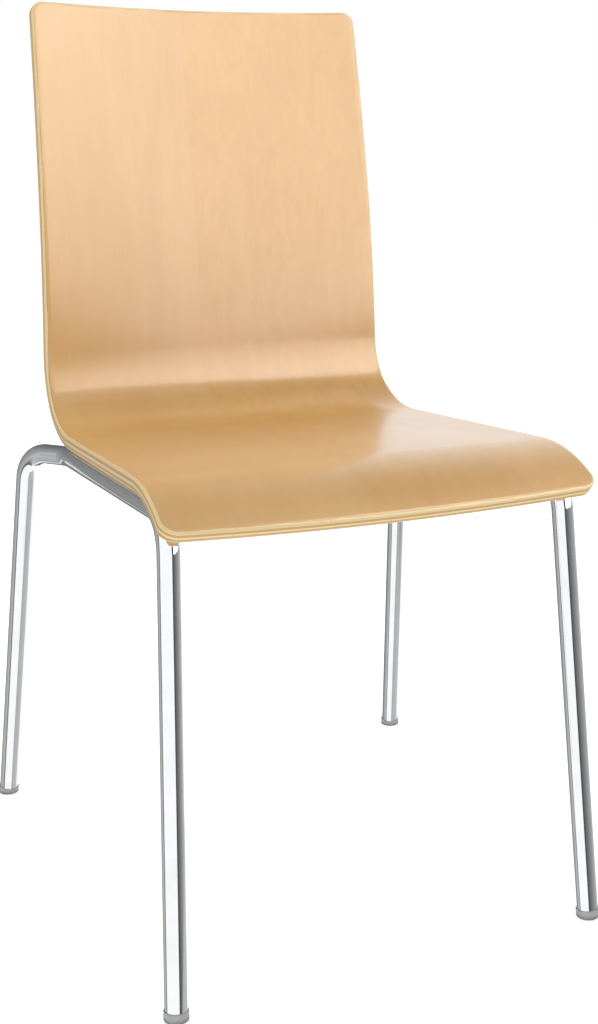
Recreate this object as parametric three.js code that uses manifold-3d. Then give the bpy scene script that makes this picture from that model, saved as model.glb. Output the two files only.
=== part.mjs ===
import * as THREE from "three";
import { mergeVertices } from "three/addons/utils/BufferGeometryUtils.js";
import Module from "manifold-3d";

// Stacking chair: a one-piece moulded plywood shell on two bent chrome side frames.
// Millimetres. The chair faces -Y, +Z is up, and X = 0 is its plane of symmetry.
// While it is being built, Y = 0 is the line through the two front feet.

const wasm = await Module();
wasm.setup();

// ---- driving dimensions -------------------------------------------------

const FIT_GAP = 0.3;                 // clearance left between pieces that touch

// Plywood shell, described by the side profile of its upper (sitter's) face.
const PLY_THICKNESS = 13;
const SEAT_FRONT_Y = 1;
const SEAT_FRONT_Z = 414;
const FRONT_DIP_ANGLE = 40;          // how steeply the front edge rolls down
const FRONT_DIP_LENGTH = 103.5;
const FRONT_BOW = 6.5;               // the front edge stands this far forward in the middle
const SEAT_SLOPE = 2.7;              // the seat falls this much towards the back
const SEAT_FLAT_LENGTH = 245;
const SEAT_BEND_RADIUS = 106;
const BEND_TIGHTENS_ANGLE = 32;      // headings from horizontal, 90 is upright
const LUMBAR_BEND_RADIUS = 60.5;
const LUMBAR_ANGLE = 90.5;
const MID_BACK_ANGLE = 82.5;
const TOP_BACK_ANGLE = 79;
const LOWER_BACK_LENGTH = 185;
const UPPER_BACK_LENGTH = 170;
const SEAT_FRONT_HALF_WIDTH = 202;
const SEAT_BEND_HALF_WIDTH = 191.5;
const BACK_TOP_HALF_WIDTH = 177.5;
const SEAT_CORNER_RADIUS = 16;
const BACK_CORNER_RADIUS = 13;
const BACK_HOLLOW = 15;              // depth of the curve across the top of the back

// Side frames: round tube.
const TUBE_RADIUS = 10;
const TUBE_WALL = 1.5;
const BEND_RADIUS = 35;
const RAIL_X = 184.5;
const RAIL_DROP = 11.6;              // seat underside down to the rail's axis, at the rear
const RAIL_SLOPE = 2.4;              // a little flatter than the seat, to clear the front roll
const RAIL_TURN_Y = 372;             // where the rail starts to splay outwards
const FRONT_FOOT_X = 205;
const FRONT_LEG_RAKE = 6;
const REAR_FOOT_X = 243.5;
const REAR_FOOT_Y = 495.5;
const REAR_LEG_RAKE = 10.1;
const REAR_CORNER_X = 215.5;

// Foot caps.
const CAP_WALL = 0.6;
const CAP_HEIGHT = 8;
const CAP_BASE = 3.6;                // floor to the tube's end, along the leg
const CAP_EDGE_ROUND = 1.3;
const CAP_LIP_CHAMFER = 0.4;
const CAP_FLOOR_CUT = 1.2;           // sliced off the tilted cap so that it stands flat

// Cross tubes and seat fixings.
const CROSS_RADIUS = 7.5;
const CROSS_FROM_FLAT_END = 34;      // in from each end of the seat's flat stretch
const FIXING_X = 118;
const FIXING_OFFSET = 21;            // screw hole from the cross tube's axis
const PAD_THICKNESS = 2;
const PAD_RADIUS = 12;
const TAB_THICKNESS = 2.5;
const TAB_HALF_WIDTH = 15;
const TAB_OVERHANG = 12;             // metal past the cross tube on the side away from the hole
const TAB_CORNER = 6;
const SCREW_RADIUS = 3;
const SCREW_POINT = 1;               // chamfer at the screw's tip
const SCREW_HEAD_RADIUS = 5.3;
const SCREW_HEAD_HEIGHT = 3.3;
const SCREW_HEAD_RIM = 0.6;          // straight side of the head, above its dome
const SCREW_CROWN_RADIUS = 2.9;      // flat at the top of the dome
const SOCKET_RADIUS = 2.3;
const SOCKET_DEPTH = 2;
const WASHER_RADIUS = 7;
const WASHER_THICKNESS = 1.2;
const INSERT_RADIUS = 5;
const INSERT_LENGTH = 8;
const THREAD_ENGAGEMENT = 6.5;

// How finely curves are divided.
const TUBE_SIDES = 24;
const CROSS_TUBE_SIDES = 16;
const BEND_STEPS = 7;
const SHELL_COLUMNS = 12;
const ROUND_SIDES = 18;

const toRadians = THREE.MathUtils.degToRad;
const group = new THREE.Group();
group.name = "stacking_chair";

// ---- materials ----------------------------------------------------------

const plywood = new THREE.MeshStandardMaterial({ color: 0xd9ae78, roughness: 0.4, metalness: 0 });
const chrome = new THREE.MeshStandardMaterial({ color: 0xd8dadd, roughness: 0.08, metalness: 1 });
const steel = new THREE.MeshStandardMaterial({ color: 0x9a9da1, roughness: 0.35, metalness: 1 });
const greyPlastic = new THREE.MeshStandardMaterial({ color: 0x8d9091, roughness: 0.5, metalness: 0 });
const rubber = new THREE.MeshStandardMaterial({ color: 0x26272a, roughness: 0.8, metalness: 0 });

// ---- helpers ------------------------------------------------------------

function addPiece(name, geometry, material) {
  geometry.computeVertexNormals();
  const mesh = new THREE.Mesh(geometry, material);
  mesh.name = name;
  group.add(mesh);
}

function toSolid(geometry) {
  const bare = geometry.clone();
  bare.deleteAttribute("normal");
  bare.deleteAttribute("uv");
  const merged = mergeVertices(bare, 1e-4);
  return new wasm.Manifold(new wasm.Mesh({
    numProp: 3,
    vertProperties: new Float32Array(merged.attributes.position.array),
    triVerts: new Uint32Array(merged.index.array),
  }));
}

function toGeometry(solid) {
  const mesh = solid.getMesh();
  const geometry = new THREE.BufferGeometry();
  geometry.setAttribute("position", new THREE.BufferAttribute(mesh.vertProperties, 3));
  geometry.setIndex(new THREE.BufferAttribute(mesh.triVerts, 1));
  return geometry;
}

// A ring or disc turned about +Z, standing from `bottom` to `top`.
function turnedRing(outer, inner, bottom, top) {
  const outline = [
    new THREE.Vector2(inner, bottom),
    new THREE.Vector2(outer, bottom),
    new THREE.Vector2(outer, top),
    new THREE.Vector2(inner, top),
    new THREE.Vector2(inner, bottom),
  ];
  return new THREE.LatheGeometry(outline, ROUND_SIDES).rotateX(Math.PI / 2);
}

function ringShape(outer, inner) {
  const shape = new THREE.Shape().absarc(0, 0, outer, 0, 2 * Math.PI);
  shape.holes.push(new THREE.Path().absarc(0, 0, inner, 0, 2 * Math.PI, true));
  return shape;
}

// The axis of a bent tube: straight runs between corners, each corner rounded to one radius.
// It is sampled only where the tube bends, so a straight run is a single step.
class BentTubePath extends THREE.Curve {
  constructor(corners, radius) {
    super();
    this.stations = [{ point: corners[0], tangent: direction(corners[0], corners[1]) }];
    for (let i = 1; i < corners.length - 1; i += 1) {
      const incoming = direction(corners[i - 1], corners[i]);
      const outgoing = direction(corners[i], corners[i + 1]);
      this.addBend(corners[i], incoming, outgoing, radius);
    }
    const last = corners.length - 1;
    this.stations.push({ point: corners[last], tangent: direction(corners[last - 1], corners[last]) });
    this.steps = this.stations.length - 1;
  }

  addBend(corner, incoming, outgoing, radius) {
    const turn = incoming.angleTo(outgoing);
    const inward = outgoing.clone().addScaledVector(incoming, -outgoing.dot(incoming)).normalize();
    const start = corner.clone().addScaledVector(incoming, -radius * Math.tan(turn / 2));
    const centre = start.clone().addScaledVector(inward, radius);
    for (let i = 0; i <= BEND_STEPS; i += 1) {
      const angle = (turn * i) / BEND_STEPS;
      const point = centre.clone()
        .addScaledVector(inward, -radius * Math.cos(angle))
        .addScaledVector(incoming, radius * Math.sin(angle));
      const tangent = incoming.clone()
        .multiplyScalar(Math.cos(angle))
        .addScaledVector(inward, Math.sin(angle));
      this.stations.push({ point, tangent });
    }
  }

  station(u) {
    return this.stations[Math.round(u * this.steps)];
  }

  getPointAt(u) {
    return this.station(u).point.clone();
  }

  getTangentAt(u) {
    return this.station(u).tangent.clone();
  }
}

function direction(from, to) {
  return to.clone().sub(from).normalize();
}

// ---- plywood shell ------------------------------------------------------

// The profile is a chain of arcs, given by length and by heading at each end.
const seatBendLength = SEAT_BEND_RADIUS * toRadians(BEND_TIGHTENS_ANGLE + SEAT_SLOPE);
const lumbarBendLength = LUMBAR_BEND_RADIUS * toRadians(LUMBAR_ANGLE - BEND_TIGHTENS_ANGLE);
const profileSegments = [
  { length: FRONT_DIP_LENGTH, from: FRONT_DIP_ANGLE, to: -SEAT_SLOPE, steps: 6 },
  { length: SEAT_FLAT_LENGTH, from: -SEAT_SLOPE, to: -SEAT_SLOPE, steps: 2 },
  { length: seatBendLength, from: -SEAT_SLOPE, to: BEND_TIGHTENS_ANGLE, steps: 5 },
  { length: lumbarBendLength, from: BEND_TIGHTENS_ANGLE, to: LUMBAR_ANGLE, steps: 7 },
  { length: LOWER_BACK_LENGTH, from: LUMBAR_ANGLE, to: MID_BACK_ANGLE, steps: 4 },
  { length: UPPER_BACK_LENGTH, from: MID_BACK_ANGLE, to: TOP_BACK_ANGLE, steps: 4 },
];
const profileLength = profileSegments.reduce((sum, segment) => sum + segment.length, 0);
const flatStart = FRONT_DIP_LENGTH;
const flatEnd = FRONT_DIP_LENGTH + SEAT_FLAT_LENGTH;
const bendMiddle = flatEnd + (seatBendLength + lumbarBendLength) / 2;

// Point and heading (radians) on the upper face at distance s back from the front edge.
function profileAt(s) {
  let y = SEAT_FRONT_Y;
  let z = SEAT_FRONT_Z;
  let remaining = s;
  for (const segment of profileSegments) {
    const run = Math.min(remaining, segment.length);
    const start = toRadians(segment.from);
    const rate = toRadians(segment.to - segment.from) / segment.length;
    const heading = start + rate * run;
    if (rate === 0) {
      y += run * Math.cos(start);
      z += run * Math.sin(start);
    } else {
      y += (Math.sin(heading) - Math.sin(start)) / rate;
      z -= (Math.cos(heading) - Math.cos(start)) / rate;
    }
    remaining -= run;
    if (remaining <= 0) {
      return { y, z, heading };
    }
  }
  return { y, z, heading: toRadians(TOP_BACK_ANGLE) };
}

function shellHalfWidth(s) {
  let half = THREE.MathUtils.mapLinear(s, 0, bendMiddle, SEAT_FRONT_HALF_WIDTH, SEAT_BEND_HALF_WIDTH);
  if (s > bendMiddle) {
    half = THREE.MathUtils.mapLinear(s, bendMiddle, profileLength, SEAT_BEND_HALF_WIDTH, BACK_TOP_HALF_WIDTH);
  }
  return half - cornerInset(s, SEAT_CORNER_RADIUS) - cornerInset(profileLength - s, BACK_CORNER_RADIUS);
}

// How far a rounded corner draws the side in, at a distance from the end it rounds.
function cornerInset(distance, radius) {
  if (distance >= radius) {
    return 0;
  }
  return radius - Math.sqrt(radius * radius - (radius - distance) ** 2);
}

function backHollow(s) {
  const climb = THREE.MathUtils.clamp((s - bendMiddle) / (profileLength - bendMiddle), 0, 1);
  return BACK_HOLLOW * Math.sin(climb * Math.PI / 2);
}

// A point of the shell: `across` runs from -1 to 1, `depth` is measured down from the upper face.
// The bow of the front edge fades out where the front roll ends.
function shellPoint(s, across, depth) {
  const bow = FRONT_BOW * across * across * Math.max(1 - s / FRONT_DIP_LENGTH, 0);
  const { y, z, heading } = profileAt(s + bow);
  const sunk = depth + backHollow(s) * (1 - across * across);
  return new THREE.Vector3(
    across * shellHalfWidth(s),
    y + sunk * Math.sin(heading),
    z - sunk * Math.cos(heading),
  );
}

// Rows are close together round each corner and bend, and far apart on the straights.
function shellRows() {
  const cornerSteps = 6;
  const roundedCorner = (i, radius) => radius * (1 - Math.cos((i / cornerSteps) * Math.PI / 2));
  const rows = [];
  for (let i = 0; i < cornerSteps; i += 1) {
    rows.push(roundedCorner(i, SEAT_CORNER_RADIUS));
  }
  let start = 0;
  for (const segment of profileSegments) {
    for (let i = 0; i < segment.steps; i += 1) {
      const s = start + (segment.length * i) / segment.steps;
      if (s > SEAT_CORNER_RADIUS) {
        rows.push(s);
      }
    }
    start += segment.length;
  }
  for (let i = cornerSteps; i >= 0; i -= 1) {
    rows.push(profileLength - roundedCorner(i, BACK_CORNER_RADIUS));
  }
  return rows;
}

function shellBlank() {
  const rows = shellRows();
  const blank = new THREE.BoxGeometry(2, rows.length - 1, 1, SHELL_COLUMNS, rows.length - 1, 1);
  const position = blank.attributes.position;
  for (let i = 0; i < position.count; i += 1) {
    const row = Math.round(position.getY(i) + (rows.length - 1) / 2);
    const depth = position.getZ(i) > 0 ? 0 : PLY_THICKNESS;
    const point = shellPoint(rows[row], position.getX(i), depth);
    position.setXYZ(i, point.x, point.y, point.z);
  }
  return blank;
}

// ---- seat fixings -------------------------------------------------------

// Each fixing is drawn upright about its screw, with z = 0 on the seat's underside,
// then tilted to the seat and moved to its place.
const crossStations = [
  { end: "front", s: flatStart + CROSS_FROM_FLAT_END, towardsMiddle: 1 },
  { end: "rear", s: flatEnd - CROSS_FROM_FLAT_END, towardsMiddle: -1 },
];

function placeUnderSeat(geometry, x, s) {
  const { y, z, heading } = profileAt(s);
  return geometry
    .rotateX(heading)
    .translate(x, y + PLY_THICKNESS * Math.sin(heading), z - PLY_THICKNESS * Math.cos(heading));
}

const tabTop = -PAD_THICKNESS;
const tabBottom = tabTop - TAB_THICKNESS;
const washerTop = tabBottom - FIT_GAP;
const washerBottom = washerTop - WASHER_THICKNESS;
const headTop = washerBottom - FIT_GAP;
const holeRadius = SCREW_RADIUS + FIT_GAP;

// A tab is welded on top of a cross tube and reaches towards the seat's middle.
function tabGeometry(towardsMiddle) {
  const far = TAB_OVERHANG + FIXING_OFFSET;
  const near = TAB_HALF_WIDTH;
  const low = towardsMiddle > 0 ? -far : -near;
  const high = towardsMiddle > 0 ? near : far;
  const side = TAB_HALF_WIDTH;
  const outline = new THREE.Shape()
    .moveTo(-side + TAB_CORNER, low)
    .lineTo(side - TAB_CORNER, low)
    .absarc(side - TAB_CORNER, low + TAB_CORNER, TAB_CORNER, -Math.PI / 2, 0)
    .absarc(side - TAB_CORNER, high - TAB_CORNER, TAB_CORNER, 0, Math.PI / 2)
    .absarc(-side + TAB_CORNER, high - TAB_CORNER, TAB_CORNER, Math.PI / 2, Math.PI)
    .absarc(-side + TAB_CORNER, low + TAB_CORNER, TAB_CORNER, Math.PI, 1.5 * Math.PI);
  outline.holes.push(new THREE.Path().absarc(0, 0, holeRadius, 0, 2 * Math.PI, true));
  return new THREE.ExtrudeGeometry(outline, {
    depth: TAB_THICKNESS,
    bevelEnabled: false,
    curveSegments: 4,
  }).translate(0, 0, tabBottom);
}

// Button-head screw with a hexagon socket in the underside of its head.
function screwGeometry() {
  const tip = THREAD_ENGAGEMENT;
  const headBottom = headTop - SCREW_HEAD_HEIGHT;
  const domeWidth = SCREW_HEAD_RADIUS - SCREW_CROWN_RADIUS;
  const domeHeight = SCREW_HEAD_HEIGHT - SCREW_HEAD_RIM;
  const dome = new THREE.Path()
    .absellipse(SCREW_CROWN_RADIUS, headTop - SCREW_HEAD_RIM, domeWidth, domeHeight, -Math.PI / 2, 0)
    .getPoints(3);
  const outline = [
    new THREE.Vector2(0, headBottom),
    ...dome,
    new THREE.Vector2(SCREW_HEAD_RADIUS, headTop),
    new THREE.Vector2(SCREW_RADIUS, headTop),
    new THREE.Vector2(SCREW_RADIUS, tip - SCREW_POINT),
    new THREE.Vector2(SCREW_RADIUS - SCREW_POINT, tip),
    new THREE.Vector2(0, tip),
  ];
  const body = new THREE.LatheGeometry(outline, ROUND_SIDES).rotateX(Math.PI / 2);
  const socket = new THREE.CylinderGeometry(SOCKET_RADIUS, SOCKET_RADIUS, 2 * SOCKET_DEPTH, 6)
    .rotateX(Math.PI / 2)
    .translate(0, 0, headBottom);
  return toGeometry(toSolid(body).subtract(toSolid(socket)));
}

function fixingPoints() {
  const points = [];
  for (const { end, s, towardsMiddle } of crossStations) {
    for (const [side, sign] of [["left", 1], ["right", -1]]) {
      const screwStation = s + towardsMiddle * FIXING_OFFSET;
      points.push({ label: `${end}_${side}`, x: sign * FIXING_X, s: screwStation, towardsMiddle });
    }
  }
  return points;
}

function addFixings() {
  for (const { label, x, s, towardsMiddle } of fixingPoints()) {
    const insert = turnedRing(INSERT_RADIUS, holeRadius, FIT_GAP, INSERT_LENGTH);
    const pad = turnedRing(PAD_RADIUS, holeRadius + FIT_GAP, tabTop + FIT_GAP, -FIT_GAP);
    const washer = turnedRing(WASHER_RADIUS, holeRadius, washerBottom, washerTop);
    addPiece(`threaded_insert_${label}`, placeUnderSeat(insert, x, s), steel);
    addPiece(`seat_pad_${label}`, placeUnderSeat(pad, x, s), rubber);
    addPiece(`seat_bracket_${label}`, placeUnderSeat(tabGeometry(towardsMiddle), x, s), steel);
    addPiece(`washer_${label}`, placeUnderSeat(washer, x, s), steel);
    addPiece(`seat_screw_${label}`, placeUnderSeat(screwGeometry(), x, s), steel);
  }
}

function addShell() {
  let shell = toSolid(shellBlank());
  for (const { x, s } of fixingPoints()) {
    const pocket = new THREE.CylinderGeometry(
      INSERT_RADIUS + FIT_GAP, INSERT_RADIUS + FIT_GAP, 2 * (INSERT_LENGTH + FIT_GAP), ROUND_SIDES,
    ).rotateX(Math.PI / 2);
    shell = shell.subtract(toSolid(placeUnderSeat(pocket, x, s)));
  }
  addPiece("plywood_shell", toGeometry(shell), plywood);
}

// ---- side frames --------------------------------------------------------

// The whole top of a frame lies in one plane, hung from the rear end of the seat's flat stretch.
const railHanger = profileAt(flatEnd);
const railSlope = Math.tan(toRadians(RAIL_SLOPE));
const railHeightAtFront = railHanger.z - PLY_THICKNESS - RAIL_DROP + railSlope * railHanger.y;

function railHeight(y) {
  return railHeightAtFront - railSlope * y;
}

const frontRake = Math.tan(toRadians(FRONT_LEG_RAKE));
const rearRake = Math.tan(toRadians(REAR_LEG_RAKE));
const frontCornerZ = railHeightAtFront / (1 + railSlope * frontRake);
const rearCornerZ = (railHeightAtFront - railSlope * REAR_FOOT_Y) / (1 - railSlope * rearRake);

// Tube corners for the side at `sign`, from front foot to rear foot.
function frameCorners(sign) {
  const frontCorner = new THREE.Vector3(sign * RAIL_X, frontCornerZ * frontRake, frontCornerZ);
  const turn = new THREE.Vector3(sign * RAIL_X, RAIL_TURN_Y, railHeight(RAIL_TURN_Y));
  const rearCornerY = REAR_FOOT_Y - rearCornerZ * rearRake;
  const rearCorner = new THREE.Vector3(sign * REAR_CORNER_X, rearCornerY, rearCornerZ);
  const frontFoot = new THREE.Vector3(sign * FRONT_FOOT_X, 0, 0);
  const rearFoot = new THREE.Vector3(sign * REAR_FOOT_X, REAR_FOOT_Y, 0);
  return { frontFoot, frontCorner, turn, rearCorner, rearFoot };
}

function tubeAlong(corners) {
  const path = new BentTubePath(corners, BEND_RADIUS);
  return new THREE.ExtrudeGeometry(ringShape(TUBE_RADIUS, TUBE_RADIUS - TUBE_WALL), {
    steps: path.steps,
    bevelEnabled: false,
    curveSegments: TUBE_SIDES / 2,
    extrudePath: path,
  });
}

function addFrame(side, sign) {
  const { frontFoot, frontCorner, turn, rearCorner, rearFoot } = frameCorners(sign);
  const frontEnd = frontFoot.clone().addScaledVector(direction(frontFoot, frontCorner), CAP_BASE);
  const rearEnd = rearFoot.clone().addScaledVector(direction(rearFoot, rearCorner), CAP_BASE);
  const tube = tubeAlong([frontEnd, frontCorner, turn, rearCorner, rearEnd]);
  addPiece(`side_frame_${side}`, tube, chrome);
  addFootCap(`foot_cap_front_${side}`, frontFoot, frontCorner);
  addFootCap(`foot_cap_rear_${side}`, rearFoot, rearCorner);
}

// The rotation that turns +Y into a direction.
function rotationTo(heading) {
  return new THREE.Quaternion().setFromUnitVectors(new THREE.Vector3(0, 1, 0), heading);
}

// A cap follows its leg but is cut level where it stands on the floor.
function addFootCap(name, foot, legTop) {
  const bore = TUBE_RADIUS + FIT_GAP;
  const outer = bore + CAP_WALL;
  const seatForTube = CAP_BASE - FIT_GAP;
  const rounding = new THREE.Path()
    .absarc(outer - CAP_EDGE_ROUND, CAP_EDGE_ROUND - CAP_FLOOR_CUT, CAP_EDGE_ROUND, -Math.PI / 2, 0)
    .getPoints(4);
  const outline = [
    new THREE.Vector2(0, -CAP_FLOOR_CUT),
    ...rounding,
    new THREE.Vector2(outer, CAP_HEIGHT - CAP_LIP_CHAMFER),
    new THREE.Vector2(outer - CAP_LIP_CHAMFER, CAP_HEIGHT),
    new THREE.Vector2(bore, CAP_HEIGHT),
    new THREE.Vector2(bore, seatForTube),
    new THREE.Vector2(0, seatForTube),
  ];
  const cup = new THREE.LatheGeometry(outline, TUBE_SIDES)
    .applyQuaternion(rotationTo(direction(foot, legTop)))
    .translate(foot.x, foot.y, foot.z);
  const block = 4 * CAP_HEIGHT;
  const aboveFloor = new THREE.BoxGeometry(block, block, block).translate(foot.x, foot.y, block / 2);
  addPiece(name, toGeometry(toSolid(cup).intersect(toSolid(aboveFloor))), greyPlastic);
}

// ---- cross tubes --------------------------------------------------------

// Each cross tube is coped to fit between the two side rails and carries two brackets.
function addCrossTube(end, s) {
  const depthBelowSeat = PAD_THICKNESS + TAB_THICKNESS + FIT_GAP + CROSS_RADIUS;
  const tube = new THREE.ExtrudeGeometry(ringShape(CROSS_RADIUS, CROSS_RADIUS - TUBE_WALL), {
    depth: 2 * RAIL_X,
    bevelEnabled: false,
    curveSegments: CROSS_TUBE_SIDES / 2,
  })
    .translate(0, 0, -RAIL_X)
    .rotateY(Math.PI / 2)
    .translate(0, 0, -depthBelowSeat);
  let solid = toSolid(placeUnderSeat(tube, 0, s));
  for (const sign of [1, -1]) {
    const { frontCorner, turn } = frameCorners(sign);
    const copeRadius = TUBE_RADIUS + FIT_GAP;
    const middle = frontCorner.clone().add(turn).multiplyScalar(0.5);
    const cope = new THREE.CylinderGeometry(copeRadius, copeRadius, frontCorner.distanceTo(turn), TUBE_SIDES)
      .applyQuaternion(rotationTo(direction(frontCorner, turn)))
      .translate(middle.x, middle.y, middle.z);
    solid = solid.subtract(toSolid(cope));
  }
  addPiece(`cross_tube_${end}`, toGeometry(solid), chrome);
}

// ---- the chair ----------------------------------------------------------

addShell();
addFrame("left", 1);
addFrame("right", -1);
for (const { end, s } of crossStations) {
  addCrossTube(end, s);
}
addFixings();

// Stand the chair with the centre of its footprint at the origin.
const extent = new THREE.Box3().setFromObject(group);
const middleY = (extent.min.y + extent.max.y) / 2;
for (const piece of group.children) {
  piece.geometry.translate(0, -middleY, 0);
}

export default group;
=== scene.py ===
import math

import bmesh
import bpy
from mathutils import Matrix, Vector
from mathutils.geometry import delaunay_2d_cdt


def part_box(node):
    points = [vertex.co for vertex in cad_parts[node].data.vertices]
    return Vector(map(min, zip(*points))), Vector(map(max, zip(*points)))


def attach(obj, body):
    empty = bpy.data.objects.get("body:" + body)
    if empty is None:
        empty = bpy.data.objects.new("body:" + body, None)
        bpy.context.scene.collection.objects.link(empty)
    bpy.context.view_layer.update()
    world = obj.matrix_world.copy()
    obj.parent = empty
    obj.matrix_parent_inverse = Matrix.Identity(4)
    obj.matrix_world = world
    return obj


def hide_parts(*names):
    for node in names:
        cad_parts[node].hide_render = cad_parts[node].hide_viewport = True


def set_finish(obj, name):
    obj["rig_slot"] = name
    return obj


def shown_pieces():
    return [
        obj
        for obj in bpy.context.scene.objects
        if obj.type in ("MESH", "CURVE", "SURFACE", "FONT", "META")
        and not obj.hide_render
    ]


# Stacking chair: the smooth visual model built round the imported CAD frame.
# Lengths are written in millimetres and turned to metres by MM. The sitter faces -Y.

MM = 0.001

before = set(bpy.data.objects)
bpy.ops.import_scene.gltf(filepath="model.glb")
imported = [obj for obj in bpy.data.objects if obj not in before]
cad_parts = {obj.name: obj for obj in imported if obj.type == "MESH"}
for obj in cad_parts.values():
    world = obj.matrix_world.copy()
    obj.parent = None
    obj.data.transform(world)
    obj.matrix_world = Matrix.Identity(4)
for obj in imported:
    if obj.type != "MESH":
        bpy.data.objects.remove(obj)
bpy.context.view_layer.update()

# ---- dimensions, as in the CAD ------------------------------------------

PLY_THICKNESS = 13
SEAT_FRONT_Y = 1
SEAT_FRONT_Z = 414
FRONT_DIP_ANGLE = 40
FRONT_DIP_LENGTH = 103.5
FRONT_BOW = 6.5
SEAT_SLOPE = 2.7
SEAT_FLAT_LENGTH = 245
SEAT_BEND_RADIUS = 106
BEND_TIGHTENS_ANGLE = 32
LUMBAR_BEND_RADIUS = 60.5
LUMBAR_ANGLE = 90.5
MID_BACK_ANGLE = 82.5
TOP_BACK_ANGLE = 79
LOWER_BACK_LENGTH = 185
UPPER_BACK_LENGTH = 170
SEAT_FRONT_HALF_WIDTH = 202
SEAT_BEND_HALF_WIDTH = 191.5
BACK_TOP_HALF_WIDTH = 177.5
SEAT_CORNER_RADIUS = 16
BACK_CORNER_RADIUS = 13
BACK_HOLLOW = 15

TUBE_RADIUS = 10
BEND_RADIUS = 35
RAIL_X = 184.5
RAIL_DROP = 11.6
RAIL_SLOPE = 2.4
RAIL_TURN_Y = 372
FRONT_FOOT_X = 205
FRONT_LEG_RAKE = 6
REAR_FOOT_X = 243.5
REAR_FOOT_Y = 495.5
REAR_LEG_RAKE = 10.1
REAR_CORNER_X = 215.5

CAP_BORE = 10.3
CAP_OUTER = 10.9
CAP_HEIGHT = 8
CAP_FLOOR_CUT = 1.2         # how far the cap runs on below the floor before it is cut level
CAP_FOOT_ROUND = 1.6        # rounding where the cap meets the floor
CAP_SOLE_RING = 3           # width of the flat ring inside that rounding
CAP_LIP_ROUND = 0.35
CAP_LIP_MIDDLE = (0.15, 0.12)
TUBE_END_LIFT = 3.6

CROSS_RADIUS = 7.5
CROSS_END_INTO_RAIL = 2     # the weld bead hides the little of the flat end that stays outside
CROSS_FROM_FLAT_END = 34
FIXING_X = 118
FIXING_OFFSET = 21
PAD_THICKNESS = 2
PAD_RADIUS = 12
TAB_THICKNESS = 2.5
TAB_HALF_WIDTH = 15
TAB_OVERHANG = 12
TAB_CORNER = 6
HOLE_RADIUS = 3.3
SCREW_RADIUS = 3
WASHER_RADIUS = 7
WASHER_THICKNESS = 1.2
INSERT_RADIUS = 5
INSERT_LENGTH = 8
FIT_GAP = 0.3

SCREW_TIP = 6.5             # height of the screw's tip above the seat's underside
SCREW_TIP_CHAMFER = 0.8
HEAD_RADIUS = 5.3
HEAD_HEIGHT = 3.3
HEAD_RIM = 0.6              # straight side of the head, before its dome
HEAD_TOP_RADIUS = 3
SOCKET_APOTHEM = 2
SOCKET_DEPTH = 2
SOCKET_CONE = 0.4
SOCKET_CHAMFER = 0.15

# ---- looks only ---------------------------------------------------------

EDGE_ROUND = 3.0           # sanded rounding along the shell's rim
PLY_COUNT = 5
LEAF_SEAM_X = -18          # where two veneer leaves meet on the show face
SHEET_STEP = 6             # spacing of the shell's mesh
RIM_STEPS = 4
SEAT_CORNER_STEPS = 20
BACK_CORNER_STEPS = 10
TUBE_SIDES = 64
BEND_STEPS = 32
TURNED_SIDES = 64
ROUNDING_STEPS = 8         # along each rounded corner of a cap, a screw head or a plate
HOLE_SIDES = 48
SHARP_ANGLE = 40           # edges that turn more than this stay sharp
PLATE_SHARP_ANGLE = 35
PLATE_BEVEL = 0.35
PAD_CHAMFER = 0.4
WASHER_CHAMFER = 0.15
INSERT_CHAMFER = 0.3
HEAD_CHAMFER = 0.15
SHANK_CHAMFER = 0.05
CLOSING_RADIUS = 0.05      # a turned end closes in a flat of this radius
BORE_CLOSING_RADIUS = 0.5
PLATE_RIM_ANGLE = 60       # only edges that turn more than this are bevelled
BEAD_RADIUS = 1.5
BEAD_RIPPLE = 0.16
BEAD_RIPPLE_COUNT = 24
BEAD_TURNS = 96
BEAD_SIDES = 10

# While dimensions are laid out, Y = 0 is the line through the front feet. This is that line in the frame.
Y_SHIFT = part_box("plywood_shell")[0].y / MM - SEAT_FRONT_Y


def in_frame(point):
    """A laid-out point in millimetres, as a point of the frame in metres."""
    return Vector((point[0], point[1] + Y_SHIFT, point[2])) * MM


# ---- making pieces ------------------------------------------------------

def put_in_scene(name, data):
    placed = bpy.data.objects.new(name, data)
    bpy.context.scene.collection.objects.link(placed)
    return placed


def new_piece(name, mesh, slot, replaced):
    mesh.validate()
    piece = put_in_scene(name, mesh)
    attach(piece, "root")
    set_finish(piece, slot)
    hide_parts(*replaced)


def face_outwards(mesh, weld=0):
    """Turns every face outwards, after joining points that lie within `weld` millimetres."""
    work = bmesh.new()
    work.from_mesh(mesh)
    if weld:
        bmesh.ops.remove_doubles(work, verts=work.verts, dist=weld * MM)
    bmesh.ops.recalc_face_normals(work, faces=work.faces)
    work.to_mesh(mesh)
    work.free()


def smooth(mesh, sharp_angle=None):
    mesh.polygons.foreach_set("use_smooth", [True] * len(mesh.polygons))
    if sharp_angle:
        mesh.set_sharp_from_angle(angle=math.radians(sharp_angle))


def mesh_from(name, points, faces, weld=0, sharp_angle=SHARP_ANGLE):
    mesh = bpy.data.meshes.new(name)
    mesh.from_pydata([in_frame(p) for p in points], [], faces)
    face_outwards(mesh, weld)
    smooth(mesh, sharp_angle)
    return mesh


def skin_rings(rings, closed_ends=True):
    """Faces joining rings of equal length, one after another, with the two ends filled."""
    count = len(rings[0])
    faces = []
    for k in range(len(rings) - 1):
        for i in range(count):
            j = (i + 1) % count
            faces.append((k * count + i, k * count + j, (k + 1) * count + j, (k + 1) * count + i))
    if closed_ends:
        faces.append(tuple(reversed(range(count))))
        faces.append(tuple(range((len(rings) - 1) * count, len(rings) * count)))
    points = [p for ring in rings for p in ring]
    return points, faces


# ---- plywood shell ------------------------------------------------------

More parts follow.
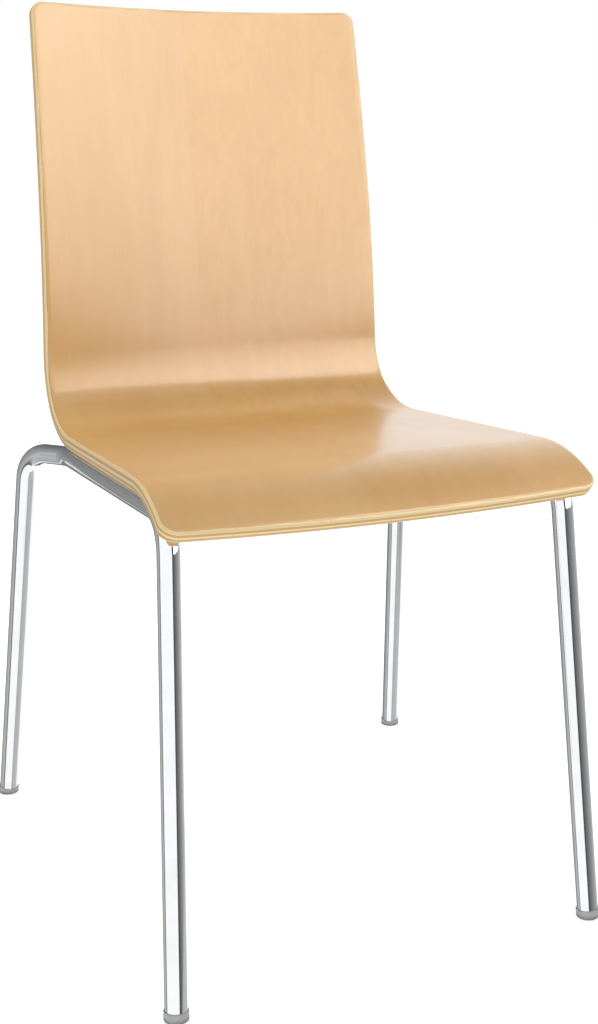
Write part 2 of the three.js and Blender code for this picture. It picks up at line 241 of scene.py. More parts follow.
SEAT_BEND_LENGTH = SEAT_BEND_RADIUS * math.radians(BEND_TIGHTENS_ANGLE + SEAT_SLOPE)
LUMBAR_BEND_LENGTH = LUMBAR_BEND_RADIUS * math.radians(LUMBAR_ANGLE - BEND_TIGHTENS_ANGLE)
PROFILE = [
    (FRONT_DIP_LENGTH, FRONT_DIP_ANGLE, -SEAT_SLOPE),
    (SEAT_FLAT_LENGTH, -SEAT_SLOPE, -SEAT_SLOPE),
    (SEAT_BEND_LENGTH, -SEAT_SLOPE, BEND_TIGHTENS_ANGLE),
    (LUMBAR_BEND_LENGTH, BEND_TIGHTENS_ANGLE, LUMBAR_ANGLE),
    (LOWER_BACK_LENGTH, LUMBAR_ANGLE, MID_BACK_ANGLE),
    (UPPER_BACK_LENGTH, MID_BACK_ANGLE, TOP_BACK_ANGLE),
]
SHEET_LENGTH = sum(segment[0] for segment in PROFILE)
FLAT_END = FRONT_DIP_LENGTH + SEAT_FLAT_LENGTH
BEND_MIDDLE = FLAT_END + (SEAT_BEND_LENGTH + LUMBAR_BEND_LENGTH) / 2


def profile_at(s):
    """y, z and heading (radians) on the sitter's face, at distance s back from the front edge."""
    y, z = SEAT_FRONT_Y, SEAT_FRONT_Z
    for length, start_angle, end_angle in PROFILE:
        run = min(s, length)
        start = math.radians(start_angle)
        rate = math.radians(end_angle - start_angle) / length
        heading = start + rate * run
        if rate == 0:
            y += run * math.cos(start)
            z += run * math.sin(start)
        else:
            y += (math.sin(heading) - math.sin(start)) / rate
            z -= (math.cos(heading) - math.cos(start)) / rate
        s -= run
        if s <= 0:
            break
    return y, z, heading


def corner_inset(distance, radius):
    if distance >= radius:
        return 0.0
    return radius - math.sqrt(max(radius ** 2 - (radius - distance) ** 2, 0.0))


def side_line(s):
    if s <= BEND_MIDDLE:
        return SEAT_FRONT_HALF_WIDTH + (SEAT_BEND_HALF_WIDTH - SEAT_FRONT_HALF_WIDTH) * s / BEND_MIDDLE
    climb = (s - BEND_MIDDLE) / (SHEET_LENGTH - BEND_MIDDLE)
    return SEAT_BEND_HALF_WIDTH + (BACK_TOP_HALF_WIDTH - SEAT_BEND_HALF_WIDTH) * climb


def half_width(s):
    corners = corner_inset(s, SEAT_CORNER_RADIUS) + corner_inset(SHEET_LENGTH - s, BACK_CORNER_RADIUS)
    return side_line(s) - corners


def shell_point(x, s, depth):
    """Folds the flat sheet: x across, s along it, depth down through the plies.

    The front edge bows forward, and the bow fades out where the front roll ends."""
    s = min(max(s, 0), SHEET_LENGTH)
    bow = FRONT_BOW * (x / side_line(s)) ** 2 * max(1 - s / FRONT_DIP_LENGTH, 0)
    y, z, heading = profile_at(s + bow)
    climb = min(max((s - BEND_MIDDLE) / (SHEET_LENGTH - BEND_MIDDLE), 0), 1)
    hollow = BACK_HOLLOW * math.sin(climb * math.pi / 2) * (1 - (x / side_line(s)) ** 2)
    sunk = depth + hollow
    return (x, y + sunk * math.sin(heading), z - sunk * math.cos(heading))


def quarter_turn(steps):
    """Angles from 0 to a right angle, both ends included."""
    return [math.pi / 2 * i / steps for i in range(steps + 1)]


def evenly(start, end, step):
    """Values from start up to, but not including, end."""
    count = max(1, round(abs(end - start) / step))
    return [start + (end - start) * i / count for i in range(count)]


def sheet_outline():
    """The sheet's outline in (x, s), anticlockwise, with rounded corners."""
    front = SEAT_CORNER_RADIUS
    top = SHEET_LENGTH - BACK_CORNER_RADIUS
    right = [front * (1 - math.cos(a)) for a in quarter_turn(SEAT_CORNER_STEPS)[:-1]]
    right += evenly(front, top, SHEET_STEP)
    right += [top + BACK_CORNER_RADIUS * math.sin(a) for a in quarter_turn(BACK_CORNER_STEPS)]
    outline = [(half_width(s), s) for s in right]
    top_half = half_width(SHEET_LENGTH)
    outline += [(x, SHEET_LENGTH) for x in evenly(top_half, -top_half, SHEET_STEP)[1:]]
    outline += [(-half_width(s), s) for s in reversed(right)]
    front_half = half_width(0)
    outline += [(x, 0.0) for x in evenly(-front_half, front_half, SHEET_STEP)[1:]]
    return outline


def inset_outline(outline, inset):
    moved = []
    count = len(outline)
    for i, (x, s) in enumerate(outline):
        before, after = outline[i - 1], outline[(i + 1) % count]
        dx, ds = after[0] - before[0], after[1] - before[1]
        size = math.hypot(dx, ds)
        moved.append((x - inset * ds / size, s + inset * dx / size))
    return moved


def sheet_face_points(border):
    """Triangles filling the border, with an even grid of points inside it, clear of the border."""
    points = [Vector(p) for p in border]
    count = len(border)
    edges = [(i, (i + 1) % count) for i in range(count)]
    keep_off = 0.7 * SHEET_STEP
    tolerance = 1e-4
    for s in evenly(0, SHEET_LENGTH, SHEET_STEP)[1:]:
        reach = half_width(s) - keep_off - EDGE_ROUND
        if s < keep_off or s > SHEET_LENGTH - keep_off:
            continue
        columns = round(2 * reach / SHEET_STEP)
        points += [Vector((-reach + 2 * reach * i / columns, s)) for i in range(columns + 1)]
    filled = delaunay_2d_cdt(points, edges, [], 1, tolerance)
    return [tuple(p) for p in filled[0]], [tuple(f) for f in filled[2]]


def rim_section():
    """(inset, depth) from face to face: a quarter round, the straight cut, and a quarter round."""
    half = [
        (EDGE_ROUND * (1 - math.sin(a)), EDGE_ROUND * (1 - math.cos(a)))
        for a in quarter_turn(RIM_STEPS)
    ]
    return half + [(inset, PLY_THICKNESS - depth) for inset, depth in reversed(half)]


def shell_faces():
    """Both faces of the shell: places on the sheet as (x, s, depth), and triangles."""
    border = inset_outline(sheet_outline(), EDGE_ROUND)
    face_points, triangles = sheet_face_points(border)
    places, faces = [], []
    for depth in (0, PLY_THICKNESS):
        base = len(places)
        places += [(x, s, depth) for x, s in face_points]
        faces += [tuple(base + i for i in triangle) for triangle in triangles]
    return places, faces


def shell_rim():
    """The edge all round the shell: places on the sheet, and four-sided faces between rings of them."""
    outline = sheet_outline()
    rings = [
        [(x, s, depth) for x, s in inset_outline(outline, inset)]
        for inset, depth in rim_section()
    ]
    return skin_rings(rings, closed_ends=False)


def build_shell():
    places, faces = shell_faces()
    rim_places, rim_faces = shell_rim()
    is_edge = [0] * len(faces) + [1] * len(rim_faces)
    faces += [tuple(len(places) + i for i in face) for face in rim_faces]
    places += rim_places

    mesh = bpy.data.meshes.new("moulded_shell")
    mesh.from_pydata([in_frame(shell_point(*place)) for place in places], [], faces)
    layer = mesh.attributes.new("sheet", "FLOAT_VECTOR", "POINT")
    layer.data.foreach_set("vector", [c * MM for place in places for c in place])
    mesh.polygons.foreach_set("material_index", is_edge)
    face_outwards(mesh, weld=0.01)
    smooth(mesh)
    new_piece("moulded_shell", mesh, "plywood", ["plywood_shell"])


# ---- bent tube frames ---------------------------------------------------

RAIL_HANGER_Y, RAIL_HANGER_Z, _ = profile_at(FLAT_END)
RAIL_FALL = math.tan(math.radians(RAIL_SLOPE))
RAIL_Z_AT_FRONT = RAIL_HANGER_Z - PLY_THICKNESS - RAIL_DROP + RAIL_FALL * RAIL_HANGER_Y


def frame_corners(sign):
    front_rake = math.tan(math.radians(FRONT_LEG_RAKE))
    rear_rake = math.tan(math.radians(REAR_LEG_RAKE))
    front_z = RAIL_Z_AT_FRONT / (1 + RAIL_FALL * front_rake)
    rear_z = (RAIL_Z_AT_FRONT - RAIL_FALL * REAR_FOOT_Y) / (1 - RAIL_FALL * rear_rake)
    return [
        Vector((sign * FRONT_FOOT_X, 0, 0)),
        Vector((sign * RAIL_X, front_z * front_rake, front_z)),
        Vector((sign * RAIL_X, RAIL_TURN_Y, RAIL_Z_AT_FRONT - RAIL_FALL * RAIL_TURN_Y)),
        Vector((sign * REAR_CORNER_X, REAR_FOOT_Y - rear_z * rear_rake, rear_z)),
        Vector((sign * REAR_FOOT_X, REAR_FOOT_Y, 0)),
    ]


def bent_axis(corners, radius):
    """Stations (point, direction) along straight runs joined by round bends."""
    stations = [(corners[0], (corners[1] - corners[0]).normalized())]
    for before, corner, after in zip(corners, corners[1:], corners[2:]):
        incoming = (corner - before).normalized()
        outgoing = (after - corner).normalized()
        turn = incoming.angle(outgoing)
        inward = (outgoing - incoming * outgoing.dot(incoming)).normalized()
        start = corner - incoming * radius * math.tan(turn / 2)
        centre = start + inward * radius
        for i in range(BEND_STEPS + 1):
            angle = turn * i / BEND_STEPS
            point = centre - inward * radius * math.cos(angle) + incoming * radius * math.sin(angle)
            stations.append((point, incoming * math.cos(angle) + inward * math.sin(angle)))
    stations.append((corners[-1], (corners[-1] - corners[-2]).normalized()))
    return stations


def sweep(stations, radius, sides):
    """Rings carried along the stations without twist."""
    across = stations[0][1].orthogonal().normalized()
    previous = stations[0][1]
    rings = []
    for point, tangent in stations:
        across = previous.rotation_difference(tangent) @ across
        across = (across - tangent * across.dot(tangent)).normalized()
        up = tangent.cross(across)
        previous = tangent
        ring = []
        for i in range(sides):
            angle = 2 * math.pi * i / sides
            ring.append(point + (across * math.cos(angle) + up * math.sin(angle)) * radius)
        rings.append(ring)
    return rings


def build_side_frame(side, sign):
    corners = frame_corners(sign)
    corners[0] = corners[0] + (corners[1] - corners[0]).normalized() * TUBE_END_LIFT
    corners[-1] = corners[-1] + (corners[-2] - corners[-1]).normalized() * TUBE_END_LIFT
    rings = sweep(bent_axis(corners, BEND_RADIUS), TUBE_RADIUS, TUBE_SIDES)
    mesh = mesh_from(f"bent_tube_{side}", *skin_rings(rings))
    new_piece(f"bent_tube_{side}", mesh, "chrome_tube", [f"side_frame_{side}"])


# ---- foot caps ----------------------------------------------------------

def turned_rings(outline, place):
    """Rings of an outline [(radius, height)] turned about the +Z of `place`.

    A radius may be a function of the angle."""
    rings = []
    for radius, height in outline:
        ring = []
        for i in range(TURNED_SIDES):
            angle = 2 * math.pi * i / TURNED_SIDES
            reach = radius(angle) if callable(radius) else radius
            ring.append(place @ Vector((reach * math.cos(angle), reach * math.sin(angle), height)))
        rings.append(ring)
    return rings


def cap_outline():
    """The cap's section from below the floor, up its outside, over the lip and down the bore."""
    round_start = CAP_OUTER - CAP_FOOT_ROUND
    lip_middle = (CAP_OUTER - CAP_LIP_MIDDLE[0], CAP_HEIGHT - CAP_LIP_MIDDLE[1])
    outline = [(round_start - CAP_SOLE_RING, -CAP_FLOOR_CUT)]
    for angle in quarter_turn(ROUNDING_STEPS):
        rise = CAP_FOOT_ROUND * (1 - math.cos(angle))
        outline.append((round_start + CAP_FOOT_ROUND * math.sin(angle), rise - CAP_FLOOR_CUT))
    return outline + [
        (CAP_OUTER, CAP_HEIGHT / 2),
        (CAP_OUTER, CAP_HEIGHT - CAP_LIP_ROUND),
        lip_middle,
        (CAP_OUTER - CAP_LIP_ROUND, CAP_HEIGHT),
        (CAP_BORE, CAP_HEIGHT),
        (CAP_BORE, TUBE_END_LIFT - FIT_GAP),
        (BORE_CLOSING_RADIUS, TUBE_END_LIFT - FIT_GAP),
    ]


def build_foot_cap(name, foot, leg_top):
    along = (leg_top - foot).normalized()
    upright = Vector((0, 0, 1)).rotation_difference(along).to_matrix().to_4x4()
    points, faces = skin_rings(turned_rings(cap_outline(), Matrix.Translation(foot) @ upright))
    grounded = [Vector((p.x, p.y, max(p.z, 0))) for p in points]
    new_piece(name, mesh_from(name, grounded, faces), "foot_plastic", [name.replace("ferrule", "foot_cap")])


# ---- under the seat -----------------------------------------------------

CROSS_STATIONS = [
    ("front", FRONT_DIP_LENGTH + CROSS_FROM_FLAT_END, 1),
    ("rear", FLAT_END - CROSS_FROM_FLAT_END, -1),
]


def under_seat(x, s):
    """A place on the seat's underside, with +Z up through the seat."""
    y, z, heading = profile_at(s)
    spot = Vector((x, y + PLY_THICKNESS * math.sin(heading), z - PLY_THICKNESS * math.cos(heading)))
    return Matrix.Translation(spot) @ Matrix.Rotation(heading, 4, "X")


def build_cross_tube(end, s):
    drop = PAD_THICKNESS + TAB_THICKNESS + FIT_GAP + CROSS_RADIUS
    centre = under_seat(0, s) @ Vector((0, 0, -drop))
    reach = RAIL_X - TUBE_RADIUS + CROSS_END_INTO_RAIL
    stations = [
        (centre + Vector((-reach, 0, 0)), Vector((1, 0, 0))),
        (centre + Vector((reach, 0, 0)), Vector((1, 0, 0))),
    ]
    points, faces = skin_rings(sweep(stations, CROSS_RADIUS, TUBE_SIDES))
    for sign in (1, -1):
        bead_points, bead_faces = weld_bead(centre, sign)
        faces += [tuple(len(points) + i for i in face) for face in bead_faces]
        points += bead_points
    name = f"cross_member_{end}"
    new_piece(name, mesh_from(name, points, faces), "chrome_tube", [f"cross_tube_{end}"])


def weld_bead(centre, sign):
    """A rippled bead where a cross tube meets a side rail."""
    rail_z = RAIL_Z_AT_FRONT - RAIL_FALL * centre.y
    least_inset = 3
    rings = []
    for i in range(BEAD_TURNS):
        angle = 2 * math.pi * i / BEAD_TURNS
        outward = Vector((0, math.cos(angle), math.sin(angle)))
        spot = centre + outward * CROSS_RADIUS
        inset = math.sqrt(max(TUBE_RADIUS ** 2 - (spot.z - rail_z) ** 2, least_inset ** 2))
        spot.x = sign * (RAIL_X - inset)
        size = BEAD_RADIUS + BEAD_RIPPLE * math.sin(angle * BEAD_RIPPLE_COUNT)
        ring = []
        for k in range(BEAD_SIDES):
            turn = 2 * math.pi * k / BEAD_SIDES
            sideways = Vector((sign * size * math.sin(turn), 0, 0))
            ring.append(spot + outward * size * math.cos(turn) + sideways)
        rings.append(ring)
    rings.append(rings[0])
    return skin_rings(rings, closed_ends=False)


def plate_border(low, high):
    """A bracket plate's outline in (x, y), from low to high along Y, with rounded corners."""
    right = TAB_HALF_WIDTH - TAB_CORNER
    near, far = low + TAB_CORNER, high - TAB_CORNER
    border = []
    for x, y, start in ((right, near, -90), (right, far, 0), (-right, far, 90), (-right, near, 180)):
        for turn in quarter_turn(ROUNDING_STEPS):
            angle = math.radians(start) + turn
            border.append((x + TAB_CORNER * math.cos(angle), y + TAB_CORNER * math.sin(angle)))
    return border


def circle(radius, count):
    angles = [2 * math.pi * i / count for i in range(count)]
    return [(radius * math.cos(a), radius * math.sin(a)) for a in angles]


def fill_plate(work, outlines, height, place):
    """Fills the area between flat outlines that lie at one height."""
    loops = []
    for outline in outlines:
        verts = [work.verts.new(place @ Vector((x, y, height))) for x, y in outline]
        loops += [work.edges.new((verts[i], verts[(i + 1) % len(verts)])) for i in range(len(verts))]
    filled = bmesh.ops.triangle_fill(work, edges=loops, use_beauty=True)
    return [g for g in filled["geom"] if isinstance(g, bmesh.types.BMFace)]


def thicken_plate(work, plate, lift):
    """Raises the plate's upper face by `lift` and breaks its sharp edges."""
    raised = bmesh.ops.extrude_face_region(work, geom=plate)
    verts = [g for g in raised["geom"] if isinstance(g, bmesh.types.BMVert)]
    bmesh.ops.translate(work, verts=verts, vec=lift)
    bmesh.ops.recalc_face_normals(work, faces=work.faces)
    rim = [e for e in work.edges if e.calc_face_angle(0) > math.radians(PLATE_RIM_ANGLE)]
    bmesh.ops.bevel(work, geom=rim, offset=PLATE_BEVEL, segments=2, affect="EDGES", profile=0.5)


def build_bracket(label, place, towards_middle):
    far = TAB_OVERHANG + FIXING_OFFSET
    low, high = (-far, TAB_HALF_WIDTH) if towards_middle > 0 else (-TAB_HALF_WIDTH, far)
    outlines = (plate_border(low, high), circle(HOLE_RADIUS, HOLE_SIDES))
    work = bmesh.new()
    plate = fill_plate(work, outlines, -PAD_THICKNESS - TAB_THICKNESS, place)
    thicken_plate(work, plate, place.to_3x3() @ Vector((0, 0, TAB_THICKNESS)))
    for vert in work.verts:
        vert.co = in_frame(vert.co)
    name = f"bracket_plate_{label}"
    mesh = bpy.data.meshes.new(name)
    work.to_mesh(mesh)
    work.free()
    smooth(mesh, PLATE_SHARP_ANGLE)
    new_piece(name, mesh, "zinc_steel", [f"seat_bracket_{label}"])


def build_turned(name, outline, place, slot, replaced):
    points, faces = skin_rings(turned_rings(outline, place))
    new_piece(name, mesh_from(name, points, faces), slot, [replaced])


def ring_outline(inner, outer, bottom, top, chamfer):
    """A closed ring's section, from the bore round the outside and back to the bore."""
    return [
        (inner, bottom + chamfer),
        (inner + chamfer, bottom),
        (outer - chamfer, bottom),
        (outer, bottom + chamfer),
        (outer, top - chamfer),
        (outer - chamfer, top),
        (inner + chamfer, top),
        (inner, top - chamfer),
        (inner, bottom + chamfer),
    ]


def build_ring(name, outline, place, slot, replaced):
    points, faces = skin_rings(turned_rings(outline, place), closed_ends=False)
    mesh = mesh_from(name, points, faces, weld=0.001, sharp_angle=PLATE_SHARP_ANGLE)
    new_piece(name, mesh, slot, [replaced])


def hexagon(apothem):
    def reach(angle):
        return apothem / math.cos((angle % (math.pi / 3)) - math.pi / 6)
    return reach


def screw_outline(head_top):
    """A button-head screw's section, from its tip down the shank, over the head and into the hex socket."""
    rim = head_top - HEAD_RIM
    bottom = head_top - HEAD_HEIGHT
    outline = [
        (CLOSING_RADIUS, SCREW_TIP),
        (SCREW_RADIUS - SCREW_TIP_CHAMFER, SCREW_TIP),
        (SCREW_RADIUS, SCREW_TIP - SCREW_TIP_CHAMFER),
        (SCREW_RADIUS, head_top + SHANK_CHAMFER),
        (SCREW_RADIUS + SHANK_CHAMFER, head_top),
        (HEAD_RADIUS - HEAD_CHAMFER, head_top),
        (HEAD_RADIUS, head_top - HEAD_CHAMFER),
        (HEAD_RADIUS, rim),
    ]
    for angle in quarter_turn(ROUNDING_STEPS)[1:]:
        reach = HEAD_TOP_RADIUS + (HEAD_RADIUS - HEAD_TOP_RADIUS) * math.cos(angle)
        outline.append((reach, rim - (rim - bottom) * math.sin(angle)))
    return outline + [
        (hexagon(SOCKET_APOTHEM + SOCKET_CHAMFER), bottom),
        (hexagon(SOCKET_APOTHEM), bottom + SOCKET_CHAMFER),
        (hexagon(SOCKET_APOTHEM), bottom + SOCKET_DEPTH),
        (CLOSING_RADIUS, bottom + SOCKET_DEPTH + SOCKET_CONE),
    ]


def build_fixing(label, place, towards_middle):
    """One fixing, from the seat down: insert, pad, bracket, washer and screw."""
    washer_top = -PAD_THICKNESS - TAB_THICKNESS - FIT_GAP
    washer_bottom = washer_top - WASHER_THICKNESS
    pad_bottom = -PAD_THICKNESS + FIT_GAP
    pad = ring_outline(HOLE_RADIUS + FIT_GAP, PAD_RADIUS, pad_bottom, -FIT_GAP, PAD_CHAMFER)
    washer = ring_outline(HOLE_RADIUS, WASHER_RADIUS, washer_bottom, washer_top, WASHER_CHAMFER)
    insert = ring_outline(HOLE_RADIUS, INSERT_RADIUS, FIT_GAP, INSERT_LENGTH, INSERT_CHAMFER)
    screw = screw_outline(washer_bottom - FIT_GAP)
    build_bracket(label, place, towards_middle)
    build_ring(f"rubber_washer_{label}", pad, place, "rubber_pad", f"seat_pad_{label}")
    build_ring(f"steel_washer_{label}", washer, place, "zinc_steel", f"washer_{label}")
    build_ring(f"insert_nut_{label}", insert, place, "zinc_steel", f"threaded_insert_{label}")
    build_turned(f"button_screw_{label}", screw, place, "zinc_steel", f"seat_screw_{label}")


def build_fixings():
    for end, station, towards_middle in CROSS_STATIONS:
        for side, sign in (("left", 1), ("right", -1)):
            place = under_seat(sign * FIXING_X, station + towards_middle * FIXING_OFFSET)
            build_fixing(f"{end}_{side}", place, towards_middle)


# ---- materials ----------------------------------------------------------

WHITE = (1.0, 1.0, 1.0)
REMAP_SOCKETS = ("From Min", "From Max", "To Min", "To Max")


class Nodes:
    """A node material with short calls for the nodes used here."""

    def __init__(self, name):
        self.material = bpy.data.materials.new(name)
        self.material.use_nodes = True
        self.tree = self.material.node_tree
        self.shader = self.tree.nodes["Principled BSDF"]

    def add(self, kind, **settings):
        node = self.tree.nodes.new(kind)
        for key, value in settings.items():
            setattr(node, key, value)
        return node

    def link(self, source, target):
        self.tree.links.new(source, target)

    def position(self, scale=(1, 1, 1)):
        place = self.add("ShaderNodeTexCoord").outputs["Object"]
        return self.stretched(place, scale)

    def sheet(self, scale=(1, 1, 1)):
        place = self.add("ShaderNodeAttribute", attribute_name="sheet").outputs["Vector"]
        return self.stretched(place, scale)

    def stretched(self, vector, scale):
        mapping = self.add("ShaderNodeMapping")
        mapping.inputs["Scale"].default_value = scale
        self.link(vector, mapping.inputs["Vector"])
        return mapping.outputs["Vector"]

    def noise(self, vector, scale, detail=3.0, roughness=0.5, distortion=0.0):
        node = self.add("ShaderNodeTexNoise")
        node.inputs["Scale"].default_value = scale
        node.inputs["Detail"].default_value = detail
        node.inputs["Roughness"].default_value = roughness
        node.inputs["Distortion"].default_value = distortion
        self.link(vector, node.inputs["Vector"])
        return node.outputs["Fac"]

    def ramp(self, factor, stops):
        node = self.add("ShaderNodeValToRGB")
        elements = node.color_ramp.elements
        while len(elements) < len(stops):
            elements.new(0.5)
        for element, (place, colour) in zip(elements, stops):
            element.position = place
            element.color = (*colour, 1)
        self.link(factor, node.inputs["Fac"])
        return node.outputs["Color"]

    def remap(self, value, low, high, to_low, to_high):
        node = self.add("ShaderNodeMapRange")
        for key, number in zip(REMAP_SOCKETS, (low, high, to_low, to_high)):
            node.inputs[key].default_value = number
        self.link(value, node.inputs["Value"])
        return node.outputs["Result"]

    def math(self, operation, first, second=None):
        node = self.add("ShaderNodeMath", operation=operation)
        for socket, value in zip(node.inputs, (first, second)):
            if value is None:
                continue
            if isinstance(value, (int, float)):
                socket.default_value = value
            else:
                self.link(value, socket)
        return node.outputs["Value"]

    def mix(self, factor, first, second, blend="MIX"):
        node = self.add("ShaderNodeMix", data_type="RGBA", blend_type=blend)
        sockets = (node.inputs["Factor"], node.inputs[6], node.inputs[7])
        for socket, value in zip(sockets, (factor, first, second)):
            if isinstance(value, (int, float)):
                socket.default_value = value
            elif isinstance(value, tuple):
                socket.default_value = (*value, 1)
            else:
                self.link(value, socket)
        return node.outputs[2]

    def tint(self, amount, colour, factor, stops):
        """The colour darkened, by some amount, where a ramp over the factor is dark."""
        return self.mix(amount, colour, self.ramp(factor, stops), "MULTIPLY")

    def split(self, vector):
        node = self.add("ShaderNodeSeparateXYZ")
        self.link(vector, node.inputs[0])
        return node.outputs

    def bump(self, height, distance, strength):
        node = self.add("ShaderNodeBump")
        node.inputs["Distance"].default_value = distance
        node.inputs["Strength"].default_value = strength
        self.link(height, node.inputs["Height"])
        self.link(node.outputs["Normal"], self.shader.inputs["Normal"])


def veneer_grain(nodes):
    """Maple along the sheet: slow figure, short fine fibres, and soft streaks."""
    figure = nodes.noise(nodes.sheet((1, 0.3, 1)), scale=11, detail=4, roughness=0.55, distortion=0.8)
    fibres = nodes.noise(nodes.sheet((1, 0.045, 1)), scale=640, detail=4, roughness=0.65)
    streaks = nodes.noise(nodes.sheet((1, 0.05, 1)), scale=60, detail=3, roughness=0.55, distortion=0.3)
    colour = nodes.ramp(figure, [
        (0.28, (0.610, 0.337, 0.091)),
        (0.50, (0.640, 0.359, 0.101)),
        (0.74, (0.670, 0.381, 0.112)),
    ])
    colour = nodes.tint(0.22, colour, fibres, [(0.30, (0.84, 0.80, 0.74)), (0.60, WHITE)])
    colour = nodes.tint(0.13, colour, streaks, [(0.32, (0.88, 0.84, 0.78)), (0.62, WHITE)])
    return colour, fibres, figure


def veneer_leaves_with_painted_sheen(nodes, colour):
    """Two leaves meet at a seam: a warmer one with faint ripples across its grain, and a cooler, pinker one
    whose tint is painted sheen, standing in for the stronger sheen of that leaf.
    """
    seam, blend = LEAF_SEAM_X * MM, 1 * MM
    leaf = nodes.remap(nodes.split(nodes.sheet())["X"], seam - blend, seam + blend, 0, 1)
    ripples = nodes.noise(nodes.sheet((1, 0.4, 1)), scale=70, detail=2, roughness=0.5, distortion=1.2)
    rippled = nodes.math("MULTIPLY", leaf, 0.35)
    colour = nodes.tint(rippled, colour, ripples, [(0.35, (0.90, 0.88, 0.85)), (0.60, WHITE)])
    # painted sheen: the cooler, pinker tint on the leaf on the -X side of the seam stands in for that
    # leaf's stronger sheen
    painted_sheen_tint = nodes.mix(leaf, (1.0, 1.015, 1.15), (1.0, 0.99, 0.99))
    return nodes.mix(1.0, colour, painted_sheen_tint, "MULTIPLY")


def veneer_material():
    """Maple under a clear lacquer."""
    nodes = Nodes("lacquered_veneer")
    shader = nodes.shader
    colour, fibres, figure = veneer_grain(nodes)
    nodes.link(veneer_leaves_with_painted_sheen(nodes, colour), shader.inputs["Base Color"])
    handling = nodes.noise(nodes.sheet(), scale=9, detail=3, roughness=0.5)
    nodes.link(nodes.remap(handling, 0.3, 0.7, 0.40, 0.50), shader.inputs["Roughness"])
    shader.inputs["Coat Weight"].default_value = 1.0
    shader.inputs["Coat Roughness"].default_value = 0.2
    shader.inputs["Specular IOR Level"].default_value = 0.75
    relief = nodes.math("ADD", fibres, nodes.math("MULTIPLY", figure, 2.0))
    nodes.bump(relief, distance=0.000015, strength=0.4)
    return nodes.material


def ply_edge_material():
    """Cut edge: long-grain plies pale, cross-grain plies darker, with thin glue lines between."""
    nodes = Nodes("ply_edge")
    shader = nodes.shader
    waver = nodes.noise(nodes.sheet((1, 1, 0)), scale=24, detail=2)
    shift = nodes.remap(waver, 0.2, 0.8, -0.00015, 0.00015)
    depth = nodes.math("ADD", nodes.split(nodes.sheet())["Z"], shift)
    plies = nodes.math("MULTIPLY", depth, PLY_COUNT / (PLY_THICKNESS * MM))
    pair = nodes.math("FRACT", nodes.math("MULTIPLY", plies, 0.5))
    pale, dark, glue = (0.85, 0.64, 0.32), (0.56, 0.35, 0.125), (0.34, 0.19, 0.065)
    colour = nodes.ramp(pair, [
        (0.00, glue),
        (0.03, pale),
        (0.47, pale),
        (0.50, glue),
        (0.53, dark),
        (0.97, dark),
    ])
    grain = nodes.noise(nodes.sheet((1, 1, 6)), scale=420, detail=3, roughness=0.6)
    colour = nodes.tint(0.5, colour, grain, [(0.3, (0.80, 0.74, 0.66)), (0.7, WHITE)])
    nodes.link(colour, shader.inputs["Base Color"])
    nodes.link(nodes.remap(grain, 0.2, 0.8, 0.36, 0.5), shader.inputs["Roughness"])
    shader.inputs["Coat Weight"].default_value = 0.6
    shader.inputs["Coat Roughness"].default_value = 0.22
    nodes.bump(grain, distance=0.00008, strength=0.5)
    return nodes.material


def chrome_material():
    """Bright plating with a little haze, a few smudges, and polishing marks along the tube."""
    nodes = Nodes("bright_chrome")
    shader = nodes.shader
    shader.inputs["Metallic"].default_value = 1.0
    haze = nodes.noise(nodes.position(), scale=38, detail=4, roughness=0.6)
    colour = nodes.ramp(haze, [(0.3, (0.80, 0.81, 0.83)), (0.7, (0.86, 0.87, 0.88))])
    nodes.link(colour, shader.inputs["Base Color"])
    smudges = nodes.noise(nodes.position((1, 1, 0.5)), scale=120, detail=5, roughness=0.65)
    nodes.link(nodes.remap(smudges, 0.35, 0.75, 0.035, 0.085), shader.inputs["Roughness"])
    polish = nodes.noise(nodes.position((1, 1, 0.15)), scale=90, detail=2, roughness=0.5)
    nodes.bump(polish, distance=0.00002, strength=0.4)
    return nodes.material


def zinc_material():
    nodes = Nodes("zinc_plate")
    shader = nodes.shader
    shader.inputs["Metallic"].default_value = 1.0
    mottling = nodes.noise(nodes.position(), scale=260, detail=4, roughness=0.6)
    colour = nodes.ramp(mottling, [
        (0.30, (0.42, 0.44, 0.46)),
        (0.55, (0.56, 0.57, 0.57)),
        (0.75, (0.62, 0.60, 0.54)),
    ])
    nodes.link(colour, shader.inputs["Base Color"])
    nodes.link(nodes.remap(mottling, 0.3, 0.7, 0.28, 0.45), shader.inputs["Roughness"])
    nodes.bump(nodes.noise(nodes.position(), scale=1400, detail=3), distance=0.00003, strength=0.5)
    return nodes.material


def foot_material():
    """Translucent grey plastic with scuff marks in its surface, darker towards the bottom where it meets
    the floor.
    """
    nodes = Nodes("foot_plastic")
    shader = nodes.shader
    scuff = nodes.noise(nodes.position((1, 1, 3)), scale=420, detail=4, roughness=0.65)
    shift = nodes.remap(scuff, 0.3, 0.7, -0.0015, 0.0015)
    height = nodes.math("ADD", nodes.split(nodes.position())["Z"], shift)
    # darker towards the bottom: dark grey at the floor fading to light grey about 5 mm up, and rougher low
    # down
    upward_fade = nodes.remap(height, 0.0005, 0.005, 0, 1)
    colour = nodes.mix(upward_fade, (0.16, 0.165, 0.17), (0.42, 0.43, 0.435))
    nodes.link(colour, shader.inputs["Base Color"])
    nodes.link(nodes.remap(upward_fade, 0, 1, 0.62, 0.38), shader.inputs["Roughness"])
    shader.inputs["Subsurface Weight"].default_value = 0.25
    shader.inputs["Subsurface Radius"].default_value = (0.004, 0.004, 0.004)
    nodes.bump(scuff, distance=0.00008, strength=0.4)
    return nodes.material


